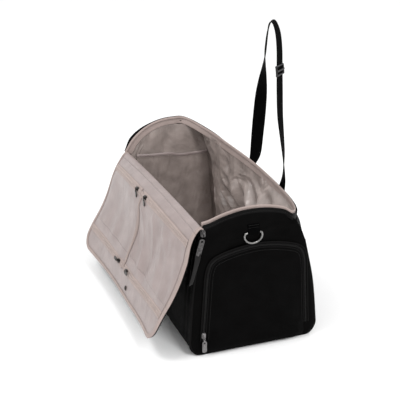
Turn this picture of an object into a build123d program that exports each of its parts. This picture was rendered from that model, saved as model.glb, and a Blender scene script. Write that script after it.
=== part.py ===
from build123d import *
from math import atan2, cos, hypot, radians, sin, sqrt
import os

os.makedirs("parts", exist_ok=True)

# A soft duffel bag that stands open. +X is the right end, -Y is the side that the lid hangs over,
# +Y is the carry strap's side and +Z is up. The origin is the middle of the base, on the floor.
# All sizes are in millimetres. Points written as pairs are (y, z).

# Body
HALF_LENGTH = 251.0
BASE_HALF = 137.0
TOP_HALF = 111.0
CORNER = 28.0                       # radius of the base's long corners
SHOULDER_Z = 268.0
ARCH_Z = 337.0
SIDE_BOW = 5.0
SHELL = 2.5                         # outer fabric with its thin foam
LINING = 1.2
BOARD = 3.0
WALL_END = 244.0                    # the long walls stop here and the piping begins
PIPING_PROUD = 2.5
PLATE_IN = HALF_LENGTH - SHELL      # inner face of each end panel

# The right end has slumped: its top leans in from LEAN_Z and its back shoulder has dropped.
LEAN_Z = 261.0
LEAN_TOP = (237.0, 288.0)           # (x, z)
RIGHT_SHOULDER = (104.0, 215.0)
RIGHT_RIM = [(85, 256), (76, 266), (60, 275), (34, 281), (4, 284), (-30, 283), (-66, 277), (-95, 269)]

# The back wall stands at its left end and sags to the right: x, shoulder, rim
BACK_STATIONS = [
    (-WALL_END, (111, 266), (62, 322)),
    (-190, (113, 262), (76, 311)),
    (-125, (117, 256), (91, 299)),
    (0, (120, 244), (111, 282)),
    (125, (124, 226), (121, 260)),
    (200, (116, 220), (108, 255)),
    (WALL_END, (104, 215), (86, 256)),
]
BACK_BOW = 6.0

# Trim round the mouth
TAPE = 1.2
RIM_TAPE_H = 9.0
BINDING_H = 9.0
BINDING = 1.0

# Lid: a narrow band at the hinge, the main panel and a lower band, each a straight or bowed strip
CREST = (-111.0, 268.0)
BAND_END = (-154.0, 257.0)
PANEL_END = (-194.0, 95.0)
EDGE_END = (-213.0, 42.0)
PANEL_BOW = 13.0
LID_HALF = 239.0
LID_TAPE = 11.0
LID_SHELL = 1.6
LID_LINING = 1.0
LID_CORNER = 38.0
FOLD_GAP = 3.0                      # each strip stops this far from a fold line
LID_STEPS = 16

# Zips
ZIP_WIDTH = 14.0
ZIP_T = 0.8
ZIP_LIFT = 0.5                      # lets a flat zip lie on the bowed lid
COIL_WIDTH = 4.0
COIL_T = 1.4
ZIP_ROW = 10.0                      # from a fold line to the zip beside it
LID_SLIDER_X = 28.0
PULL_LENGTH = 19.0
PULL_EYE = 3.5                      # from the slider's bail to the near end of its pull
SEAM_HALF = 4.0
STUD_X = 40.0
STUD_UP = 20.0                      # from the free edge of the lower band to the stud
STUD_RADIUS = 5.0
STUD_T = 2.5

# End pockets
POCKET_T = 3.0
POCKET_GAP = 3.0
POCKET_BASE_Z = 34.0
POCKET_SIDE = (-98.0, 172.0)        # top of the straight side
POCKET_TOP_Z = 216.0
POCKET_ZIP_W = 9.0
SLIDER_START_Z = 46.0

# Hardware
RING_WIRE = 4.0
RING_HALF = 18.5                    # wire centre line, half the width
RING_DROP = 22.0                    # wire centre line, bar to lowest point
RING_Y = -10.0
RING_Z = 250.0
TAB_WIDTH = 25.0
TAB_T = 1.6

# Carry strap
STRAP_WIDTH = 32.0
STRAP_T = 3.0
STRAP_FOOT_X = 78.0
STRAP_NECK = (27.0, 560.0)          # (x, z) where a leg meets the top curve
STRAP_TOP_Z = 603.0
STRAP_FOOT_Z = 288.0
STRAP_KNEE = (50.0, 410.0)
STRAP_Y = 141.0
ANCHOR_LINE = [(139.5, 60), (138.5, 120), (134.5, 180), (130.5, 225), (134, 255), (136, 265)]
ADJUSTER_Z = 505.0


def save(name, *solids):
    """Write one sub-part; several solids share a node only where they are alike."""
    shape = solids[0] if len(solids) == 1 else Compound(children=list(solids))
    shape.label = name
    export_step(shape, f"parts/{name}.step")


def mirrored(solid):
    """The same piece at the left end."""
    return mirror(solid, about=Plane.YZ)


def block(x0, x1, y0, y1, z0, z1):
    centre = ((x0 + x1) / 2, (y0 + y1) / 2, (z0 + z1) / 2)
    return Pos(*centre) * Box(x1 - x0, y1 - y0, z1 - z0)


def slab(face, x0, x1):
    """Solid between two X positions, from a face drawn in (y, z)."""
    return extrude(Plane.YZ.offset(x0) * face, amount=x1 - x0)


def bowed(p, q, bow, steps=6, trim=0.0):
    """Points from p to q, short of both by trim, on a shallow curve that bulges left by bow."""
    length = hypot(q[0] - p[0], q[1] - p[1])
    left = (-(q[1] - p[1]) / length, (q[0] - p[0]) / length)
    points = []
    for i in range(steps + 1):
        s = (trim + (length - 2 * trim) * i / steps) / length
        rise = 4 * bow * s * (1 - s)
        points.append((p[0] + (q[0] - p[0]) * s + left[0] * rise,
                       p[1] + (q[1] - p[1]) * s + left[1] * rise))
    return points


def shifted(points, distance):
    """The same line moved by distance to its left."""
    moved = []
    for i, (a, b) in enumerate(points):
        before = points[max(i - 1, 0)]
        after = points[min(i + 1, len(points) - 1)]
        run = (after[0] - before[0], after[1] - before[1])
        length = hypot(*run)
        moved.append((a - run[1] / length * distance, b + run[0] / length * distance))
    return moved


def between(points, near, far):
    """Closed outline of a layer whose faces lie near and far to the left of a line."""
    return shifted(points, near) + shifted(points, far)[::-1]


def strip(points, near, far, x0, x1):
    """A layer that follows a (y, z) line and runs along X."""
    return slab(make_face(Polyline(*between(points, near, far), close=True)), x0, x1)


def through(sections):
    """Solid through a row of flat closed sections, each a list of (x, y, z) corners."""
    faces = [Face(Wire.make_polygon([Vector(*p) for p in s], close=True)) for s in sections]
    return loft(faces, ruled=True)


# ------------------------------------------------------------------ end outlines
def side_arc(y_sign, top=(TOP_HALF, SHOULDER_Z)):
    foot = (BASE_HALF, CORNER)
    middle = bowed(foot, top, -SIDE_BOW, 2)[1]
    return ThreePointArc(*[(y_sign * y, z) for y, z in (foot, middle, top)])


def corner_arc(y_sign):
    flat = BASE_HALF - CORNER
    middle = (flat + CORNER * sin(radians(45)), CORNER * (1 - cos(radians(45))))
    return ThreePointArc(*[(y_sign * y, z) for y, z in ((flat, 0), middle, (BASE_HALF, CORNER))])


def end_outline(right, inset=0.0):
    """End panel outline: the left end keeps its full arch, the right end has slumped."""
    flat = BASE_HALF - CORNER
    edges = [Line((-flat, 0), (flat, 0)), corner_arc(1), corner_arc(-1), side_arc(-1)]
    if right:
        edges += [side_arc(1, RIGHT_SHOULDER), Line(RIGHT_SHOULDER, RIGHT_RIM[0]),
                  Polyline(*RIGHT_RIM, (-TOP_HALF, SHOULDER_Z))]
    else:
        edges += [side_arc(1), ThreePointArc((TOP_HALF, SHOULDER_Z), (0, ARCH_Z), (-TOP_HALF, SHOULDER_Z))]
    face = make_face(edges)
    return offset(face, amount=-inset) if inset else face


def leaning(near, far):
    """Layer of the right end between two depths: upright, then leaning in above LEAN_Z."""
    run = (LEAN_TOP[0] - HALF_LENGTH, LEAN_TOP[1] - LEAN_Z)
    line = [(HALF_LENGTH, -5), (HALF_LENGTH, LEAN_Z),
            (LEAN_TOP[0] + run[0] * 0.4, LEAN_TOP[1] + run[1] * 0.4)]
    mitre = hypot(*run)
    normal = (-run[1] / mitre, run[0] / mitre)
    turn = atan2(-run[0], run[1])

    def at(depth):
        drop = depth * sin(turn / 2) / cos(turn / 2)
        return [(line[0][0] - depth, line[0][1]), (line[1][0] - depth, line[1][1] - drop),
                (line[2][0] + normal[0] * depth, line[2][1] + normal[1] * depth)]

    outline = at(near) + at(far)[::-1]
    half = BASE_HALF + 10
    return extrude(Plane.XZ.offset(-half) * make_face(Polyline(*outline, close=True)), amount=2 * half)


# ------------------------------------------------------------------ long walls
def long_outline(inset):
    """Layer line of the base and front wall, from the back corner to the lid crest."""
    return offset(end_outline(False), amount=-inset) if inset else end_outline(False)


def tub_layer(near, far):
    return slab(long_outline(near) - long_outline(far), -WALL_END, WALL_END)


BELOW_CORNER = block(-300, 300, -200, 200, -5, CORNER)
FRONT_SIDE = block(-300, 300, -200, -TOP_HALF + 12, CORNER, SHOULDER_Z)


def back_layer(near, far):
    """Layer of the back wall, from the base corner to the sagging rim."""
    sections = []
    for x, shoulder, rim in BACK_STATIONS:
        lower = bowed((BASE_HALF, CORNER), shoulder, -SIDE_BOW, 4)
        upper = bowed(shoulder, rim, -BACK_BOW, 3)
        outline = between(lower + upper[1:], near, far)
        outline[0] = (BASE_HALF - near, CORNER)
        outline[-1] = (BASE_HALF - far, CORNER)
        sections.append([(x, y, z) for y, z in outline])
    return through(sections)


base_panel = tub_layer(0, SHELL) & BELOW_CORNER
front_panel = tub_layer(0, SHELL) & FRONT_SIDE
back_panel = back_layer(0, SHELL)
base_lining = tub_layer(SHELL, SHELL + LINING) & BELOW_CORNER
front_lining = tub_layer(SHELL, SHELL + LINING) & FRONT_SIDE
back_lining = back_layer(SHELL, SHELL + LINING)
board_z = SHELL + LINING
board_half = BASE_HALF - CORNER
board = block(-WALL_END + 4, WALL_END - 4, -board_half, board_half, board_z, board_z + BOARD)

save("base_panel", base_panel)
save("front_panel", front_panel)
save("back_panel", back_panel)
save("base_lining", base_lining)
save("front_lining", front_lining)
save("back_lining", back_lining)
save("base_board", fillet(board.edges().filter_by(Axis.Z), 12))

# ------------------------------------------------------------------ ends
WALL = SHELL + LINING
inner_right = slab(end_outline(True, WALL + 0.6), 200, HALF_LENGTH)
upright = block(200, 300, -200, 200, -10, LEAN_Z - 14)
right_prism = (slab(end_outline(True), WALL_END + 4, HALF_LENGTH + 1) & upright) + (
    inner_right & block(200, 300, -200, 200, LEAN_Z - 14, 400))
save("right_end_panel", leaning(0, SHELL) & right_prism)
save("right_end_lining", leaning(SHELL, WALL) & inner_right)
save("left_end_panel", mirrored(slab(end_outline(False), PLATE_IN, HALF_LENGTH)))
save("left_end_lining", mirrored(slab(end_outline(False, WALL + 0.6), PLATE_IN - LINING, PLATE_IN)))


def piping(right):
    outline = end_outline(right)
    ring = offset(outline, amount=PIPING_PROUD) - offset(outline, amount=-WALL)
    top = LEAN_Z - 16 if right else SHOULDER_Z - 6
    return slab(ring, WALL_END, PLATE_IN) & block(200, 300, -200, 200, 0, top)


save("right_end_piping", piping(True))
save("left_end_piping", mirrored(piping(False)))

# ------------------------------------------------------------------ mouth trim
def rim_line(depth):
    """Crest of the mouth at a depth inside the outer face: (point, up, inward) at each station."""
    stations = []
    radius = (TOP_HALF ** 2 + (ARCH_Z - SHOULDER_Z) ** 2) / (2 * (ARCH_Z - SHOULDER_Z))
    centre_z = ARCH_Z - radius
    for y in (-104, -90, -66, -34, 0, 30, 52):
        z = centre_z + sqrt(radius ** 2 - y ** 2)
        up = Vector(0, y / radius, (z - centre_z) / radius)
        stations.append((Vector(-HALF_LENGTH + depth, y, z), up, Vector(1, 0, 0)))
    for x, shoulder, (y, z) in BACK_STATIONS[1:-1]:
        stations.append((Vector(x, y - depth, z), Vector(0, 0, 1), Vector(0, -1, 0)))
    lean = (LEAN_TOP[0] - HALF_LENGTH) / (LEAN_TOP[1] - LEAN_Z)
    for y, z in RIGHT_RIM[1:]:
        x = HALF_LENGTH + lean * (z - LEAN_Z) - depth
        stations.append((Vector(x, y, z), Vector(0, 0, 1), Vector(-1, 0, 0)))
    return stations


def rim_ribbon(depth, thickness, low, high):
    """Ribbon that follows the mouth, between two heights from the wall's top edge."""
    sections = []
    for point, up, inward in rim_line(depth):
        near = [point + up * low, point + up * high]
        sections.append([tuple(p) for p in near + [p + inward * thickness for p in near[::-1]]])
    return through(sections)


save("mouth_zip_tape", rim_ribbon(0.4, TAPE, 0.2, RIM_TAPE_H))
save("mouth_binding", rim_ribbon(WALL + 0.8, BINDING, -BINDING_H, 0))

# ------------------------------------------------------------------ inside pockets
pocket_gap = 2.6
pocket_face = PLATE_IN - LINING - pocket_gap
end_pocket = slab(end_outline(False, WALL + 12), pocket_face - 1, pocket_face)
save("left_end_slip_pocket", mirrored(end_pocket & block(200, 300, -200, 200, CORNER + 8, 258)))
back_pocket = back_layer(WALL + pocket_gap, WALL + pocket_gap + 1)
save("back_slip_pocket", back_pocket & block(-225, 215, 0, 200, CORNER + 10, 204))


# ------------------------------------------------------------------ end pockets and D-rings
def pocket_outline(grow=0.0):
    """Arched pocket outline in (y, z), straight at its foot."""
    side_y, side_z = POCKET_SIDE
    foot = (side_y - 9, POCKET_BASE_Z)
    knee = (side_y + 24, POCKET_TOP_Z - 12)
    edges = []
    for sign in (-1, 1):
        edges.append(Line((-sign * foot[0], foot[1]), (-sign * side_y, side_z)))
        edges.append(ThreePointArc((-sign * side_y, side_z), (-sign * (side_y + 6.5), side_z + 21),
                                   (-sign * knee[0], knee[1])))
    edges.append(ThreePointArc(knee, (0, POCKET_TOP_Z), (-knee[0], knee[1])))
    edges.append(Line(foot, (-foot[0], foot[1])))
    face = make_face(edges)
    return offset(face, amount=grow) if grow else face


def end_pocket_flap():
    x0 = HALF_LENGTH + POCKET_GAP
    return slab(pocket_outline(), x0, x0 + POCKET_T)


def end_pocket_zip():
    """Zip tape and coil in one arched strip outside the flap's edge."""
    x0 = HALF_LENGTH
    above_foot = block(200, 300, -200, 200, POCKET_BASE_Z + 4, 300)
    tape = slab(pocket_outline(POCKET_ZIP_W) - pocket_outline(0.8), x0, x0 + TAPE)
    middle = POCKET_ZIP_W / 2
    coil = slab(pocket_outline(middle + COIL_WIDTH / 2) - pocket_outline(middle - COIL_WIDTH / 2),
                x0 + TAPE, x0 + TAPE + COIL_T)
    return (tape + coil) & above_foot


def pocket_side_point(z):
    """Point on the coil's straight left stretch at height z."""
    side_y, side_z = POCKET_SIDE
    s = (z - POCKET_BASE_Z) / (side_z - POCKET_BASE_Z)
    return (side_y - 9 + 9 * s - POCKET_ZIP_W / 2, z)


def rounded_plate(width, height, thickness, corner):
    plate = extrude(RectangleRounded(width, height, corner), amount=thickness)
    return plate


def pocket_slider():
    y, z = pocket_side_point(SLIDER_START_Z)
    x0 = HALF_LENGTH + TAPE + COIL_T + 0.3
    body = Plane(origin=(x0, y, z), x_dir=(0, 1, 0), z_dir=(1, 0, 0)) * rounded_plate(8, 12, 3, 2.5)
    bail = Pos(x0 + 3.8, y, z - 2) * Box(1.6, 3, 8)
    return body + bail


def pocket_pull():
    y, z = pocket_side_point(SLIDER_START_Z)
    x0 = HALF_LENGTH + TAPE + COIL_T + 5.2
    return Plane(origin=(x0, y, z - 19), x_dir=(0, 1, 0), z_dir=(1, 0, 0)) * rounded_plate(7, 30, 1.6, 3)


def d_ring():
    """Straight bar at the top, half-round wire below, one closed loop."""
    x = HALF_LENGTH + RING_WIRE / 2 + TAB_T + 0.4
    path = (Line((-RING_HALF, 0), (RING_HALF, 0))
            + ThreePointArc((RING_HALF, 0), (0, -RING_DROP), (-RING_HALF, 0)))
    wire = fillet(make_face(path).vertices(), 5)
    outer = offset(wire, amount=RING_WIRE / 2)
    inner = offset(wire, amount=-RING_WIRE / 2)
    ring = Plane(origin=(x - RING_WIRE / 2, RING_Y, RING_Z), x_dir=(0, 1, 0), z_dir=(1, 0, 0)) * extrude(
        outer - inner, amount=RING_WIRE)
    return fillet(ring.edges(), RING_WIRE * 0.35)


def ring_tab():
    """Webbing loop round the D-ring's bar, both legs stitched to the end panel."""
    reach = RING_WIRE + 0.8
    x0 = HALF_LENGTH
    radius = reach / 2
    centre = (x0 + TAB_T + radius, RING_Z)
    top = RING_Z + 9
    front = x0 + 2 * (TAB_T + radius)
    outside = make_face(Polyline((x0, RING_Z), (x0, top), (x0 + 2 * TAB_T, top), (front, RING_Z + 2),
                                 (front, RING_Z), close=True)) + Pos(*centre) * Circle(TAB_T + radius)
    inside = make_face(Polyline((x0 + TAB_T, RING_Z), (x0 + TAB_T, top - 4), (x0 + TAB_T + 0.6, top - 4),
                                (x0 + TAB_T + 2 * radius, RING_Z + 1), (x0 + TAB_T + 2 * radius, RING_Z),
                                close=True)) + Pos(*centre) * Circle(radius)
    return extrude(Plane.XZ.offset(-RING_Y - TAB_WIDTH / 2) * (outside - inside), amount=TAB_WIDTH)


for side, place in (("right", lambda s: s), ("left", mirrored)):
    save(f"{side}_pocket_flap", place(end_pocket_flap()))
    save(f"{side}_pocket_zip", place(end_pocket_zip()))
    save(f"{side}_pocket_slider", place(pocket_slider()))
    save(f"{side}_pocket_pull", place(pocket_pull()))
    save(f"{side}_d_ring", place(d_ring()))
    save(f"{side}_ring_tab", place(ring_tab()))

# ------------------------------------------------------------------ main zip slider and its pull
slider_x = HALF_LENGTH + 4.0
slider_at = (slider_x, CREST[0] - 1, CREST[1] - 6)
main_slider = Pos(*slider_at) * Box(7, 9, 14)
main_slider = fillet(main_slider.edges().filter_by(Axis.Y), 2)
save("main_slider", main_slider)

PULL_TOP = (CREST[0] - 2, CREST[1] - 17)
PULL_END = (-123.0, 217.0)
TAIL_END = (-137.0, 160.0)


def hanging_plate(top, foot, width, thickness, corner):
    """Flat piece from top to foot, both (y, z), that lies beside the right end."""
    length = hypot(foot[0] - top[0], foot[1] - top[1])
    along = Vector(0, foot[0] - top[0], foot[1] - top[1]).normalized()
    middle = (HALF_LENGTH + 1.6, (top[0] + foot[0]) / 2, (top[1] + foot[1]) / 2)
    plane = Plane(origin=middle, x_dir=along, z_dir=(1, 0, 0))
    return plane * rounded_plate(length, width, thickness, corner)


save("main_pull", hanging_plate(PULL_TOP, PULL_END, 9, 2.4, 3))
save("main_pull_tail", hanging_plate((PULL_END[0] - 0.1, PULL_END[1] - 0.4), TAIL_END, 10, 1.6, 0.8))


# ------------------------------------------------------------------ lid
def lid_strip(line, layer, trim, half):
    """Layer of one lid strip. The line's left is the side of the bag's outer fabric."""
    start, end, bow = line
    return strip(bowed(start, end, bow, LID_STEPS if bow else 1, trim), *layer, -half, half)


shell_layer = (0, LID_SHELL)
lining_layer = (-LID_LINING, 0)
pocket_layer = (-LID_LINING - 1.6, -LID_LINING - 0.6)
tape_layer = (-TAPE / 2, TAPE / 2)
side_only = block(LID_HALF + 0.2, 300, -400, 0, 0, 400)


def both_sides(solid):
    return [solid & side_only, solid & mirrored(side_only)]


band = (CREST, BAND_END, 0)
panel = (BAND_END, PANEL_END, PANEL_BOW)
save("lid_band_shell", lid_strip(band, shell_layer, FOLD_GAP, LID_HALF))
save("lid_band_lining", lid_strip(band, lining_layer, FOLD_GAP, LID_HALF))
save("lid_shell", lid_strip(panel, shell_layer, FOLD_GAP, LID_HALF))
save("lid_lining", lid_strip(panel, lining_layer, FOLD_GAP, LID_HALF))
save("lid_side_tapes", *both_sides(lid_strip(panel, tape_layer, FOLD_GAP, LID_HALF + LID_TAPE)))
pocket_full = lid_strip(panel, pocket_layer, ZIP_ROW + ZIP_WIDTH / 2 + 1.5, LID_HALF - 10)
save("lid_right_pocket", pocket_full & block(8, 300, -400, 0, 0, 400))
save("lid_left_pocket", pocket_full & block(-300, -8, -400, 0, 0, 400))
seam_layer = (-LID_LINING - 2.2, -LID_LINING - 0.2)
save("lid_centre_seam", lid_strip(panel, seam_layer, ZIP_ROW, SEAM_HALF))


def row_plane(row, x, lift):
    """Plane on the lid's lining side: local X is +X, local Z points away from the lining."""
    points = bowed(BAND_END, PANEL_END, PANEL_BOW, 1, ZIP_ROW)
    beyond = bowed(BAND_END, PANEL_END, PANEL_BOW, 1, ZIP_ROW + 1)
    (y, z), (next_y, next_z) = (points[0], beyond[0]) if row == "upper" else (beyond[1], points[1])
    away = Vector(0, next_z - z, y - next_y).normalized()
    return Plane(origin=Vector(x, y, z) + away * (LID_LINING + lift), x_dir=(1, 0, 0), z_dir=away)


def lid_zip(row, sign):
    """Tape with its coil, from the centre seam to the lid's side."""
    x0, x1 = 8.0, LID_HALF - 10
    plane = row_plane(row, sign * (x0 + x1) / 2, ZIP_LIFT)
    tape = plane * Box(x1 - x0, ZIP_WIDTH, ZIP_T, align=(Align.CENTER, Align.CENTER, Align.MIN))
    coil = plane * (Pos(0, 0, ZIP_T) * Box(x1 - x0, COIL_WIDTH, COIL_T,
                                           align=(Align.CENTER, Align.CENTER, Align.MIN)))
    return tape + coil


def lid_slider(row, sign):
    body = rounded_plate(11, 8, 3, 2)
    bail = Pos(0, 0, 3.5) * Box(8, 2.4, 1.6)
    return row_plane(row, sign * LID_SLIDER_X, BAIL_LIFT - 4.5) * (body + bail)


def lid_pull(row, sign):
    """Tab on the slider's bail: upper ones hang down the lid, lower ones lie along their zip."""
    bail = row_plane(row, sign * LID_SLIDER_X, BAIL_LIFT)
    reach = PULL_LENGTH / 2 + PULL_EYE
    if row == "lower":
        return bail * (Pos(sign * reach, 0, 0) * rounded_plate(PULL_LENGTH, 6.5, 1.6, 3))
    plane = Plane(origin=bail.origin, x_dir=(1, 0, 0), z_dir=(0, -1, 0))
    return plane * (Pos(0, -reach, 0) * rounded_plate(6.5, PULL_LENGTH, 1.6, 3))


BAIL_LIFT = ZIP_LIFT + ZIP_T + COIL_T + 4.8
for row in ("upper", "lower"):
    save(f"lid_{row}_zips", lid_zip(row, 1), lid_zip(row, -1))
    for side, sign in (("right", 1), ("left", -1)):
        save(f"lid_{row}_{side}_slider", lid_slider(row, sign))
        save(f"lid_{row}_{side}_pull", lid_pull(row, sign))

# Lower band of the lid, with the rounded free corners
edge_run = Vector(0, EDGE_END[0] - PANEL_END[0], EDGE_END[1] - PANEL_END[1])
EDGE_LENGTH = edge_run.length
edge_down = edge_run.normalized()
edge_plane = Plane(origin=(0, *PANEL_END), x_dir=(1, 0, 0), z_dir=Vector(1, 0, 0).cross(edge_down))


def edge_face(half, length):
    """Band from the fold to its free edge, free corners rounded, drawn downwards along local Y."""
    corners = [(-half, FOLD_GAP), (half, FOLD_GAP), (half, length), (-half, length)]
    face = make_face(Polyline(*corners, close=True))
    return fillet(face.vertices().group_by(Axis.Y)[-1], LID_CORNER)


def edge_layer(face, near, far):
    return edge_plane.offset(near) * extrude(face, amount=far - near)


free_length = EDGE_LENGTH - LID_TAPE
away_sign = 1 if edge_plane.z_dir.Y < 0 else -1
panel_face = edge_face(LID_HALF, free_length)
tape_face = edge_face(LID_HALF + LID_TAPE, EDGE_LENGTH) - offset(panel_face, amount=0.2)
below_fold = Pos(0, FOLD_GAP + HALF_LENGTH) * Rectangle(3 * HALF_LENGTH, 2 * HALF_LENGTH)
tape_face = tape_face & below_fold


def edge_piece(face, near, far):
    """Layer of the lower band; positive depths lie on the lining side."""
    low, high = sorted((away_sign * near, away_sign * far))
    return edge_layer(face, low, high)


save("lid_edge_shell", edge_piece(panel_face, -LID_SHELL, 0))
save("lid_edge_lining", edge_piece(panel_face, 0, LID_LINING))
save("lid_edge_tape", edge_piece(tape_face, -TAPE / 2, TAPE / 2))
stud = Pos(STUD_X, free_length - STUD_UP, 0) * Circle(STUD_RADIUS)
save("lid_stud", edge_piece(stud, LID_LINING, LID_LINING + STUD_T))

# ------------------------------------------------------------------ carry strap
neck_x, neck_z = STRAP_NECK
knee_x, knee_z = STRAP_KNEE


def strap_line():
    """Middle line of the loop in (x, z), from the right foot over the top to the left foot."""
    leg = [(STRAP_FOOT_X, STRAP_FOOT_Z), STRAP_KNEE, STRAP_NECK]
    rise = STRAP_TOP_Z - neck_z
    top = [(neck_x * cos(radians(a)), neck_z + rise * sin(radians(a))) for a in range(15, 180, 15)]
    return leg + top + [(-x, z) for x, z in leg[::-1]]


def strap_face():
    return make_face(Polyline(*between(strap_line(), -STRAP_T / 2, STRAP_T / 2), close=True))


half_strap = STRAP_WIDTH / 2
save("carry_strap", extrude(Plane.XZ.offset(-STRAP_Y - half_strap) * strap_face(), amount=STRAP_WIDTH))


def strap_anchor(sign):
    """Webbing foot that lies down the back wall below a strap leg."""
    x = sign * STRAP_FOOT_X
    return strip(ANCHOR_LINE, -STRAP_T / 2, STRAP_T / 2, x - half_strap, x + half_strap)


save("strap_anchors", strap_anchor(1), strap_anchor(-1))


def adjuster():
    """Three-bar slide on the right leg: a flat frame that the webbing passes through."""
    s = (ADJUSTER_Z - knee_z) / (neck_z - knee_z)
    x = knee_x + (neck_x - knee_x) * s
    lean = atan2(knee_x - neck_x, neck_z - knee_z)
    up = Vector(-sin(lean), 0, cos(lean))
    plane = Plane(origin=(x, STRAP_Y, ADJUSTER_Z), x_dir=(0, 1, 0), z_dir=up)
    frame = Box(STRAP_WIDTH + 8, STRAP_T + 5, 22)
    frame = fillet(frame.edges().filter_by(Axis.Y), 3)
    return plane * (frame - Box(STRAP_WIDTH + 1, STRAP_T + 0.8, 40))


save("strap_adjuster", adjuster())
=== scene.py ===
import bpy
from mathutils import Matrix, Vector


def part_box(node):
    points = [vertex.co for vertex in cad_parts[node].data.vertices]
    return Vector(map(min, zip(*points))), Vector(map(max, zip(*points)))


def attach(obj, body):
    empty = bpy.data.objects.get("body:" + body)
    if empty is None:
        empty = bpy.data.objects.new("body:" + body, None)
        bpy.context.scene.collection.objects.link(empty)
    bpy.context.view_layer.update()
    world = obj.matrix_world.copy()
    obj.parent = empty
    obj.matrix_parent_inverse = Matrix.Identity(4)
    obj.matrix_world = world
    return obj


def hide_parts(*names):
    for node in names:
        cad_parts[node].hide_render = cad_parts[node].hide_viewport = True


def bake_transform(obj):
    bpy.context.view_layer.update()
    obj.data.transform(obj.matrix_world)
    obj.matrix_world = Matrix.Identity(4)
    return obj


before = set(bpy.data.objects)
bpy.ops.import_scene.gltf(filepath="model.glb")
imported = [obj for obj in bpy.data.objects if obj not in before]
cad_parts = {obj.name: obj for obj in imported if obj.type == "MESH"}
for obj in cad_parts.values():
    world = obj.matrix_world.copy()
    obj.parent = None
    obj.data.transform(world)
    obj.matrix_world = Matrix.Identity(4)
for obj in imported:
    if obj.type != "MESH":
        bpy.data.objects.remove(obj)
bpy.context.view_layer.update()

from math import cos, pi, radians, sin, sqrt

import bpy
import numpy as np
from mathutils import Matrix, Vector, noise

# A duffel bag that stands open. Lengths here are millimetres, in the model's frame, and MM turns them
# into metres. (y, z) pairs describe a cross-section, and s is a distance measured down the lid.
MM = 0.001
SIDES = (("right", 1), ("left", -1))
HALF = 251.0                        # outer face of each end
WALL_X = 245.0                      # the long walls end here
BASE, CORNER = 137.0, 28.0
TOP, SHOULDER_Z, ARCH_Z = 111.0, 268.0, 337.0
ARCH_R = (TOP ** 2 + (ARCH_Z - SHOULDER_Z) ** 2) / (2 * (ARCH_Z - SHOULDER_Z))
LEAN_Z, LEAN = 261.0, 0.52          # the right end tips inwards above this height
RIGHT_SHOULDER = (104, 215)
RIGHT_RIM = [(104, 215), (95, 238), (85, 256), (76, 266), (60, 275), (34, 281), (4, 284), (-30, 283),
             (-66, 277), (-95, 270), (-111, 268)]
# The back wall: x, shoulder, rim, and the line where its slack lining hangs furthest in
BACK = [(-244, (111, 266), (62, 322), (99, 256)), (-190, (113, 262), (76, 311), (98, 240)),
        (-125, (117, 256), (91, 299), (96, 220)), (0, (120, 244), (111, 282), (96, 211)),
        (125, (124, 226), (121, 260), (86, 222)), (200, (116, 220), (108, 255), (88, 212)),
        (244, (104, 215), (86, 256), (92, 200))]

# The lid's profile from its crest down to its free edge: at its middle, where the roll is fat, and at
# its sides
LID_MIDDLE = [(-108, 263), (-112, 273), (-127, 273), (-143, 267), (-152, 256), (-154.5, 238), (-156, 216),
              (-163, 173), (-178, 133), (-198, 97), (-205, 68), (-209, 42)]
LID_SIDE = [(-109, 262), (-113, 270), (-120, 266.5), (-129, 254), (-137, 238), (-143, 220), (-149, 200),
            (-161, 166), (-177, 132), (-197, 98), (-210, 72), (-221, 47)]
LID_HALF = 250.0
LID_CORNER = 38.0
UPPER_ZIP, LOWER_ZIP = 54.0, 218.0
BAND_CUT, EDGE_CUT = 26.0, 190.0    # the lid's fabric is made in three moving pieces

# Half of an end pocket's edge, from its foot to the middle of its top
POCKET_LINE = [(-109, 8), (-107, 34), (-103, 95), (-98.5, 165), (-96, 181), (-90, 195), (-74, 204),
               (-40, 212), (0, 216)]


# ------------------------------------------------------------------ lines and surfaces
def spaced(points, count):
    """The same line with evenly spaced points."""
    points = np.asarray(points, float)
    steps = np.linalg.norm(np.diff(points[:, :3], axis=0), axis=1)
    run = np.concatenate([[0], np.cumsum(steps)])
    where = np.linspace(0, run[-1], count)
    return np.stack([np.interp(where, run, column) for column in points.T], axis=1)


def smooth(points, count):
    """Evenly spaced points on a smooth curve through the given ones."""
    p = np.asarray(points, float)
    p = np.vstack([2 * p[0] - p[1], p, 2 * p[-1] - p[-2]])
    line = []
    for a, b, c, d in zip(p, p[1:], p[2:], p[3:]):
        for t in np.arange(14) / 14:
            line.append(0.5 * (2 * b + (c - a) * t + (2 * a - 5 * b + 4 * c - d) * t ** 2
                               + (3 * b - a - 3 * c + d) * t ** 3))
    return spaced(line + [p[-2]], count)


def unit(vectors):
    """The same vectors with length 1."""
    vectors = np.asarray(vectors, float)
    return vectors / np.maximum(np.linalg.norm(vectors, axis=-1), 1e-9)[..., None]


def inset(line, distance):
    """A (y, z) line moved to its left."""
    run = unit(np.gradient(line, axis=0))
    return line + distance * np.stack([-run[:, 1], run[:, 0]], axis=1)


def normals(grid):
    return unit(np.cross(np.gradient(grid, axis=1), np.gradient(grid, axis=0)))


def ripple(a, b, seed):
    """Smooth noise from -1 to 1 at a place given in its own wavelengths."""
    return noise.noise(Vector((a, b, seed * 7.31)))


def fold(a, b, seed):
    """Noise with soft hollows and sharper crests, as cloth folds have."""
    value = ripple(a, b, seed) + 0.4 * ripple(a * 2.1, b * 1.7, seed + 0.5)
    return 1 - 2.2 * abs(value)


def ease(x, start, end):
    t = min(max((x - start) / (end - start), 0), 1)
    return t * t * (3 - 2 * t)


def between(share, margin):
    """1 in the middle of a run and 0 at both its ends."""
    return ease(share, 0, margin) * ease(1 - share, 0, margin)


def laid(flat, place):
    """A (y, z) grid turned into points: place(i, j, y, z) gives each one."""
    rows, columns = flat.shape[:2]
    return np.array([[place(i, j, *flat[i, j]) for j in range(columns)] for i in range(rows)])


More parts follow.
